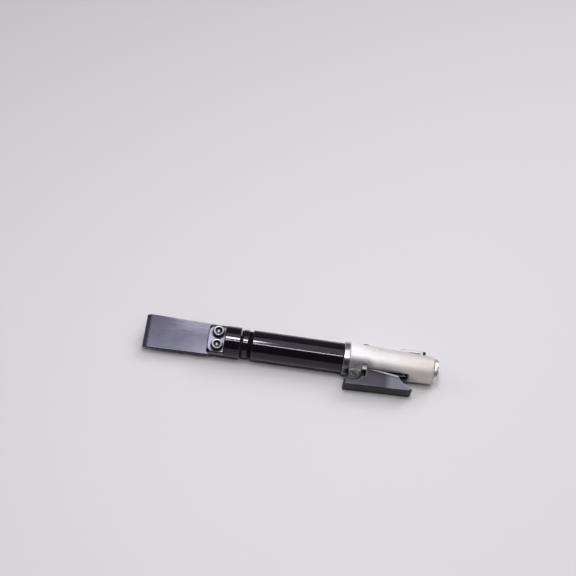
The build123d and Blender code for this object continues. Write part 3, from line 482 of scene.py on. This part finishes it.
# grain, cloud, edge and depth are in millimetres; the real grains are a few times finer than these, which
# are drawn coarse so that they show
looks = {
    # spring steel, ground along its length and blackened: satin lilac-grey with rubbed edges and long lines
    "blackened_blade": {
        "name": "blackened_ground_spring_steel",
        "colour": "#595866", "second": "#4f4e5c", "line": "#72727f", "bare": "#cfced6",
        "grain": (14.0, 1.1, 1.1), "cloud": 9.0, "streak": 0.35, "worn": 0.9, "edge": 0.5,
        "rough": (0.30, 0.46), "bump": 0.2, "depth": 0.02, "metallic": 1.0},
    # milled steel plate: paler than the blade, its bevels darker as a painted reflection
    "clamp_steel": {
        "name": "milled_steel_plate",
        "colour": "#83818d", "second": "#757380", "line": "#9795a1", "bare": "#6f6d79",
        "grain": (0.5, 6.0, 0.5), "cloud": 7.0, "streak": 0.4, "worn": 0.6, "edge": 0.7,
        "rough": (0.28, 0.40), "bump": 0.2, "depth": 0.02, "metallic": 1.0},
    # cold-headed alloy steel, black where oxide is left in the knurl and socket, rims rubbed bright
    "screw_steel": {
        "name": "cold_headed_alloy_steel",
        "colour": "#100f13", "second": "#151418", "line": "#1c1b20", "bare": "#9c9ba3",
        "grain": (0.6, 0.6, 0.6), "cloud": 3.0, "streak": 0.4, "worn": 0.3, "edge": 0.25,
        "rough": (0.30, 0.42), "bump": 0.12, "depth": 0.02, "metallic": 1.0},
    # stoved black enamel over turned steel: deep violet-black gloss with faint rings
    "gloss_black": {
        "name": "stoved_black_enamel",
        "colour": "#09070b", "second": "#0d0b10", "line": "#110f15", "bare": "#333137",
        "grain": (0.6, 30.0, 30.0), "cloud": 12.0, "streak": 0.5, "worn": 0.35, "edge": 0.35,
        "rough": (0.05, 0.09), "bump": 0.03, "depth": 0.02, "metallic": 0.0,
        "sockets": {"IOR": 1.48, "Specular Tint": linear("#ece6f7")}},
    # turned, polished and nickel plated: bright, with faint rings
    "polished_collar": {
        "name": "polished_nickel_plate",
        "colour": "#cfcecd", "second": "#c4c3c2", "line": "#b4b3b2", "bare": "#efeeed",
        "grain": (0.4, 40.0, 40.0), "cloud": 9.0, "streak": 0.4, "worn": 0.6, "edge": 0.3,
        "rough": (0.14, 0.22), "bump": 0.06, "depth": 0.02, "metallic": 1.0},
    # sand-cast aluminium, bead blasted: silvery white with a soft even grain
    "cast_aluminium": {
        "name": "bead_blasted_cast_aluminium",
        "colour": "#e8e5e6", "second": "#dfdcdc", "line": "#c9c6c6", "bare": "#f3f1f0",
        "grain": (0.9, 0.9, 0.9), "cloud": 8.0, "streak": 0.45, "worn": 0.4, "edge": 0.7,
        "rough": (0.44, 0.60), "bump": 0.35, "depth": 0.06, "metallic": 0.35},
    # cast zinc, tumbled smooth: satin dark grey with rubbed edges; the dark grey is partly painted shade
    "lever_metal": {
        "name": "tumbled_cast_zinc",
        "colour": "#353339", "second": "#2e2c32", "line": "#403e45", "bare": "#adacb2",
        "grain": (0.9, 0.9, 0.9), "cloud": 10.0, "streak": 0.4, "worn": 1.0, "edge": 1.1,
        "rough": (0.30, 0.42), "bump": 0.2, "depth": 0.03, "metallic": 1.0},
    # turned steel, bright zinc plated: almost white, with faint rings
    "plated_steel": {
        "name": "bright_zinc_plated_steel",
        "colour": "#d9d8d8", "second": "#cfcece", "line": "#bfbebe", "bare": "#efeeee",
        "grain": (0.4, 40.0, 40.0), "cloud": 8.0, "streak": 0.4, "worn": 0.5, "edge": 0.3,
        "rough": (0.28, 0.40), "bump": 0.10, "depth": 0.02, "metallic": 0.9},
    # ground dowel steel: dark grey with fine lines; the dark grey is painted shade, as on the boss
    "pin_steel": {
        "name": "ground_dowel_steel",
        "colour": "#38373b", "second": "#323136", "line": "#2b2a2f", "bare": "#5f5e62",
        "grain": (0.5, 0.5, 5.0), "cloud": 4.0, "streak": 0.5, "worn": 0.5, "edge": 0.3,
        "rough": (0.22, 0.34), "bump": 0.15, "depth": 0.02, "metallic": 1.0},
    # hardened and cylindrically ground: bright, rings round the axis
    "ground_steel": {
        "name": "hardened_ground_steel",
        "colour": "#a8a7a9", "second": "#9a999b", "line": "#88878a", "bare": "#d2d1d2",
        "grain": (0.4, 20.0, 20.0), "cloud": 8.0, "streak": 0.5, "worn": 0.5, "edge": 0.3,
        "rough": (0.20, 0.32), "bump": 0.15, "depth": 0.02, "metallic": 1.0},
    # drawn and tempered wire: mid grey, slightly mottled
    "spring_steel": {
        "name": "tempered_spring_wire",
        "colour": "#77757a", "second": "#69676c", "line": "#57555a", "bare": "#b2b1b4",
        "grain": (0.8, 0.8, 0.8), "cloud": 4.0, "streak": 0.5, "worn": 0.4, "edge": 0.2,
        "rough": (0.26, 0.38), "bump": 0.15, "depth": 0.02, "metallic": 1.0},
    # turned bronze, oiled: dark and warm, rings from the tool
    "bronze": {
        "name": "turned_bronze",
        "colour": "#7d5f38", "second": "#6f5330", "line": "#5f4627", "bare": "#a98450",
        "grain": (0.4, 12.0, 12.0), "cloud": 5.0, "streak": 0.5, "worn": 0.6, "edge": 0.3,
        "rough": (0.24, 0.38), "bump": 0.15, "depth": 0.02, "metallic": 1.0},
    # moulded nitrile rubber: matt black with a fine tooth
    "black_rubber": {
        "name": "moulded_nitrile_rubber",
        "colour": "#0f0e11", "second": "#141316", "line": "#1a191d", "bare": "#222125",
        "grain": (0.6, 0.6, 0.6), "cloud": 5.0, "streak": 0.5, "worn": 0.4, "edge": 0.3,
        "rough": (0.60, 0.75), "bump": 0.25, "depth": 0.03, "metallic": 0.0,
        "sockets": {"Specular IOR Level": 0.15}},
    # pressed fibre sheet: brown felted strands
    "gasket_fibre": {
        "name": "pressed_fibre_sheet",
        "colour": "#6d5a45", "second": "#7a664f", "line": "#57472f", "bare": "#8c785f",
        "grain": (0.5, 2.5, 0.5), "cloud": 4.0, "streak": 0.6, "worn": 0.3, "edge": 0.2,
        "rough": (0.78, 0.92), "bump": 0.35, "depth": 0.04, "metallic": 0.0},
    # blackened brass knob: dark, flutes rubbed pale
    "knob_black": {
        "name": "blackened_turned_brass",
        "colour": "#1d1c20", "second": "#242327", "line": "#2f2e33", "bare": "#77767a",
        "grain": (0.6, 0.6, 0.6), "cloud": 3.0, "streak": 0.5, "worn": 0.6, "edge": 0.25,
        "rough": (0.30, 0.44), "bump": 0.2, "depth": 0.02, "metallic": 0.6},
    # oiled black steel plug: dark, slot edges bright
    "plug_steel": {
        "name": "oil_blackened_steel",
        "colour": "#2b292e", "second": "#232227", "line": "#38363c", "bare": "#77767a",
        "grain": (0.6, 0.6, 0.6), "cloud": 3.0, "streak": 0.5, "worn": 0.5, "edge": 0.25,
        "rough": (0.30, 0.42), "bump": 0.2, "depth": 0.02, "metallic": 1.0},
    # punched stainless sheet: pale grey
    "screen_steel": {
        "name": "punched_stainless_sheet",
        "colour": "#a3a2a4", "second": "#959497", "line": "#828184", "bare": "#cfced0",
        "grain": (0.5, 0.5, 0.5), "cloud": 3.0, "streak": 0.5, "worn": 0.5, "edge": 0.2,
        "rough": (0.28, 0.40), "bump": 0.2, "depth": 0.02, "metallic": 1.0},
}


def layZone(finish, zone, *masks):
    # a patch of another finish: each of its bounds is a pair in millimetres that runs from none to full, and
    # its share is how far it covers; along, behind, away and out follow the tool's axes, behind being the
    # front end of a patch that has two along the tool, and the others are distances that a finish works out
    bounds = [addNode(finish["tree"], "ShaderNodeMapRange", None, {
        "Value": finish[axis], "From Min": zone[axis][0] / perMetre, "From Max": zone[axis][1] / perMetre})
        for axis in ("behind", "along", "away", "out", "brow", "boss", "foot") if axis in zone]
    levels = {key: zone[key] for key in ("rough", "metal") if key in zone}
    coverFinish(finish, [bound.outputs[0] for bound in bounds] + list(masks) + [zone["share"]],
                zone["colour"], levels)


def sideMask(finish, turn):
    # 1 on the sides that face along the tool's y axis, which stay dark
    tree = finish["tree"]
    true = addNode(tree, "ShaderNodeNewGeometry")
    share = addNode(tree, "ShaderNodeVectorMath", {"operation": "DOT_PRODUCT"},
                    {0: true.outputs["True Normal"], 1: tool["away"]})
    size = addNode(tree, "ShaderNodeMath", {"operation": "ABSOLUTE"}, {0: share.outputs["Value"]})
    return addNode(tree, "ShaderNodeMapRange", None, {
        "Value": size.outputs[0], "From Min": turn[0], "From Max": turn[1]}).outputs[0]


castZones = {
    # warmer and darker towards the inlet and the lever side: partly the casting's own tone, partly a painted
    # falloff of light
    "warmAndShaded": {"along": (174.0, 226.0), "away": (22.0, -2.0), "share": 0.75, "colour": "#beb6ae"},
    # painted shade low down on the grip beside the lever
    "lowShade": {"along": (212.0, 192.0), "away": (-0.5, -9.5), "share": 1.0, "colour": "#a09c9b"},
    # painted shade on the grip's flank over the gap above the lever
    "gapShade": {"behind": (176.0, 184.0), "along": (212.0, 203.0), "away": (-7.4, -9.0), "share": 0.7,
            "colour": "#3a3837"},
    # painted light: whiter on top behind the collar
    "frontLight": {"along": (182.0, 168.0), "away": (1.0, 6.0), "share": 0.8, "colour": "#fbfafb"},
    # raw cast skin above the pin's boss, darker than the casting's own grey as painted shade
    "rawSkinAndShade": {"along": (184.5, 178.0), "away": (-0.8, -6.0), "share": 0.95, "colour": "#858689"},
    "pits": {"along": (184.5, 178.0), "away": (-2.6, -6.0), "share": 0.9, "colour": "#56575b"},
    # milled sides on the boss and keel, darkened as painted shade
    "milledShade": {"along": (212.5, 210.5), "away": (-4.8, -5.6), "out": (7.42, 7.3), "share": 1.0,
               "colour": "#313135", "rough": 0.36, "metal": 1.0},
    "shelf": {"behind": (174.2, 174.4), "along": (178.7, 178.5), "away": (-4.6, -5.0), "out": (8.8, 8.5),
              "share": 1.0, "colour": "#d5d3d3", "rough": 0.5, "metal": 0.3},
    "pitSize": 0.95, "pitNoise": {"Detail": 2.0}, "pitSpan": {"From Min": 0.44, "From Max": 0.60},
    "bossAxis": (12.2, 0.0, 0.0),
    # painted shade in the crease under the regulator's boss
    "creaseShade": {"behind": (204.0, 213.0), "along": (219.9, 219.7), "away": (12.3, 11.8), "boss": (3.5, 3.0),
               "share": 0.95, "colour": "#2b2827", "rough": 0.7, "metal": 0.1},
}


def dressHandle(finish):
    # blasted skin over most of it, warmer and darker towards the inlet and the lever side, partly the
    # casting's own tone and partly a painted falloff of light, and whiter behind the collar as painted light;
    # painted shade low down beside the lever and in the gap over it, and raw cast skin above the pin's boss,
    # darkened further as painted shade, with pits drawn coarser than they are so that they show
    tree, z = finish["tree"], castZones
    for zone in ("warmAndShaded", "frontLight", "lowShade", "gapShade", "rawSkinAndShade"):
        layZone(finish, z[zone])
    specks = addNode(tree, "ShaderNodeTexNoise", None, {
        "Vector": finish["lay"], "Scale": perMetre / z["pitSize"], **z["pitNoise"]})
    pits = addNode(tree, "ShaderNodeMapRange", None, {"Value": specks.outputs[0], **z["pitSpan"]})
    layZone(finish, z["pits"], pits.outputs[0])
    # milled sides on the boss and keel darkened as painted shade, a clean shelf over the valve stem, and
    # painted shade in the crease along the regulator's boss, by the distance from its axis
    corner = addNode(tree, "ShaderNodeCombineXYZ", None, {"X": finish["away"], "Y": finish["out"]})
    span = addNode(tree, "ShaderNodeVectorMath", {"operation": "DISTANCE"},
                   {0: corner.outputs[0], 1: [v / perMetre for v in z["bossAxis"]]})
    finish["boss"] = span.outputs["Value"]
    for zone in ("milledShade", "shelf", "creaseShade"):
        layZone(finish, z[zone])


bladeZones = {
    # painted shade: darker towards the cutting edge's far corner
    "shade": {"along": (46.0, -6.0), "away": (-16.0, 13.0), "share": 0.8, "colour": "#3c3b48"},
    # painted reflection: paler towards the near corner by the clamp
    "paler": {"along": (30.0, 54.0), "away": (2.0, -14.0), "share": 0.7, "colour": "#817e8d"},
    "wash": {"along": (16.0, 34.0), "away": (1.0, 9.0), "share": 0.62, "colour": "#9296a1"},
    # a painted dark reflection along the bevel's heel, widening the bevel's dark strip
    "heelReflection": {"along": (4.1, 3.8), "share": 1.0, "colour": "#2a2934"},
    "bevel": {"along": (3.5, 3.3), "share": 1.0, "colour": "#5f5e6b"},
    # painted highlight: a bright line along the far edge
    "farEdgeHighlight": {"along": (14.0, 34.0), "away": (12.4, 12.9), "share": 0.7, "colour": "#9fa1ac"},
    "streakSpan": {"From Min": 0.25, "From Max": 0.72},
    "sideTurn": (0.6, 0.8), "sideColour": "#151418",
}


def dressBlade(finish):
    # painted shade towards the cutting edge's far corner, a bluish wash in streaks before the clamp, a paler
    # near corner as painted reflection, a painted highlight along the far edge, a painted dark reflection at
    # the bevel's heel, and black sides
    z = bladeZones
    streaks = addNode(finish["tree"], "ShaderNodeMapRange", None,
                      {"Value": finish["grain"], **z["streakSpan"]})
    layZone(finish, z["shade"])
    layZone(finish, z["paler"])
    layZone(finish, z["wash"], streaks.outputs[0])
    for zone in ("heelReflection", "bevel", "farEdgeHighlight"):
        layZone(finish, z[zone])
    coverFinish(finish, [sideMask(finish, z["sideTurn"])], z["sideColour"])


leverZones = {
    "browTilt": (0.1434, 1.0, 0.0),
    # painted light: the lower cheek paler
    "lowerLight": {"away": (-11.5, -16.5), "share": 0.35, "colour": "#47464c"},
    # painted light: paler towards the tip
    "tip": {"along": (193.6, 198.6), "share": 0.85, "colour": "#62636e"},
    # painted shade: darker in a band under the rim
    "under": {"brow": (14.3, 16.0), "share": 0.45, "colour": "#1d1b20"},
    "rim": {"brow": (16.4, 16.8), "share": 1.0, "colour": "#a9a9ae", "rough": 0.5, "metal": 0.2},
    "rubSpan": {"From Min": 0.30, "From Max": 0.58, "To Min": 0.35},
    # the outer side is darkened as painted shade
    "sideTurn": (0.6, 0.85), "sideColour": "#161417",
}


def dressLever(finish):
    # paler towards its lower outer edge and its tip as painted light, with a worn rim along the cheek's
    # sloping brow, which is measured square to that slope, painted shade under it, and its outer side
    # darkened as painted shade
    tree, z = finish["tree"], leverZones
    brow = addNode(tree, "ShaderNodeVectorMath", {"operation": "DOT_PRODUCT"},
                   {0: finish["lay"], 1: z["browTilt"]})
    finish["brow"] = brow.outputs["Value"]
    for zone in ("lowerLight", "tip", "under"):
        layZone(finish, z[zone])
    paler = addNode(tree, "ShaderNodeMapRange", None, {"Value": finish["grain"], **z["rubSpan"]})
    layZone(finish, z["rim"], paler.outputs[0])
    coverFinish(finish, [sideMask(finish, z["sideTurn"])], z["sideColour"])


# painted shade round the screw heads
plateZones = {"headShade": {"foot": (5.9, 4.8), "share": 0.9, "colour": "#1f1e23", "rough": 0.5}}


def dressPlate(finish):
    # painted shade round the screw heads, by the distance from the nearer screw
    tree = finish["tree"]
    near = addNode(tree, "ShaderNodeMath", {"operation": "ABSOLUTE"}, {0: finish["away"]})
    foot = addNode(tree, "ShaderNodeCombineXYZ", None, {"X": finish["along"], "Y": near.outputs[0]})
    span = addNode(tree, "ShaderNodeVectorMath", {"operation": "DISTANCE"},
                   {0: foot.outputs[0], 1: (screws["x"] / perMetre, screws["y"] / perMetre, 0.0)})
    finish["foot"] = span.outputs["Value"]
    layZone(finish, plateZones["headShade"])


# painted dark reflection on the side by the lever
collarZones = {"lowReflection": {"away": (-4.4, -6.6), "share": 0.7, "colour": "#3b3a39", "rough": 0.34}}


def dressCollar(finish):
    # the side that lies by the lever is darker and duller: a painted dark reflection
    layZone(finish, collarZones["lowReflection"])


enamelZones = {
    # painted shade: the neck groove made dark and dull
    "neck": {"behind": (83.0, 83.15), "along": (86.2, 86.05), "share": 1.0, "colour": "#1a181c",
             "rough": 0.75, "metal": 1.0},
}


def dressEnamel(finish):
    # the turned neck behind the nose ring is made dark and dull: painted shade in the groove
    layZone(finish, enamelZones["neck"])


knobZones = {
    # painted highlight on the knob's front
    "flange": {"along": (221.9, 221.7), "share": 1.0, "colour": "#d3d0cf", "rough": 0.45, "metal": 0.4},
}


def dressKnob(finish):
    # the knob's front, which runs against the boss, is pale: a painted highlight carried on from the boss
    layZone(finish, knobZones["flange"])


def dressScrews(finish):
    # the wear written on the mesh: bright steel on rims and crests, oxide in the knurl and socket, and a
    # painted highlight at the socket's bottom
    rub = addNode(finish["tree"], "ShaderNodeAttribute", {"attribute_name": "wear"})
    coverFinish(finish, [rub.outputs["Fac"]], looks["screw_steel"]["bare"])


dressing = {
    "cast_aluminium": dressHandle, "blackened_blade": dressBlade, "lever_metal": dressLever,
    "clamp_steel": dressPlate, "polished_collar": dressCollar, "gloss_black": dressEnamel,
    "knob_black": dressKnob, "screw_steel": dressScrews,
}
finishes = {}
for slot, look in looks.items():
    finish = startFinish(look)
    if slot in dressing:
        dressing[slot](finish)
    finishes[slot] = endFinish(finish, look)

shadedInSlot = ["throttle_stem"]  # ground steel given the dark plug finish where it shows in the lever's slot: painted shade
for part in frame["record"]["subparts"]:
    node = nodes[part["node"]]
    node.data.materials.clear()
    node.data.materials.append(finishes["plug_steel" if part["node"] in shadedInSlot else part["material_slot"]])
for slot, pieces in newPieces.items():
    for piece in pieces:
        piece.data.materials.append(finishes[slot])
print("finishes on", len(nodes), "nodes")
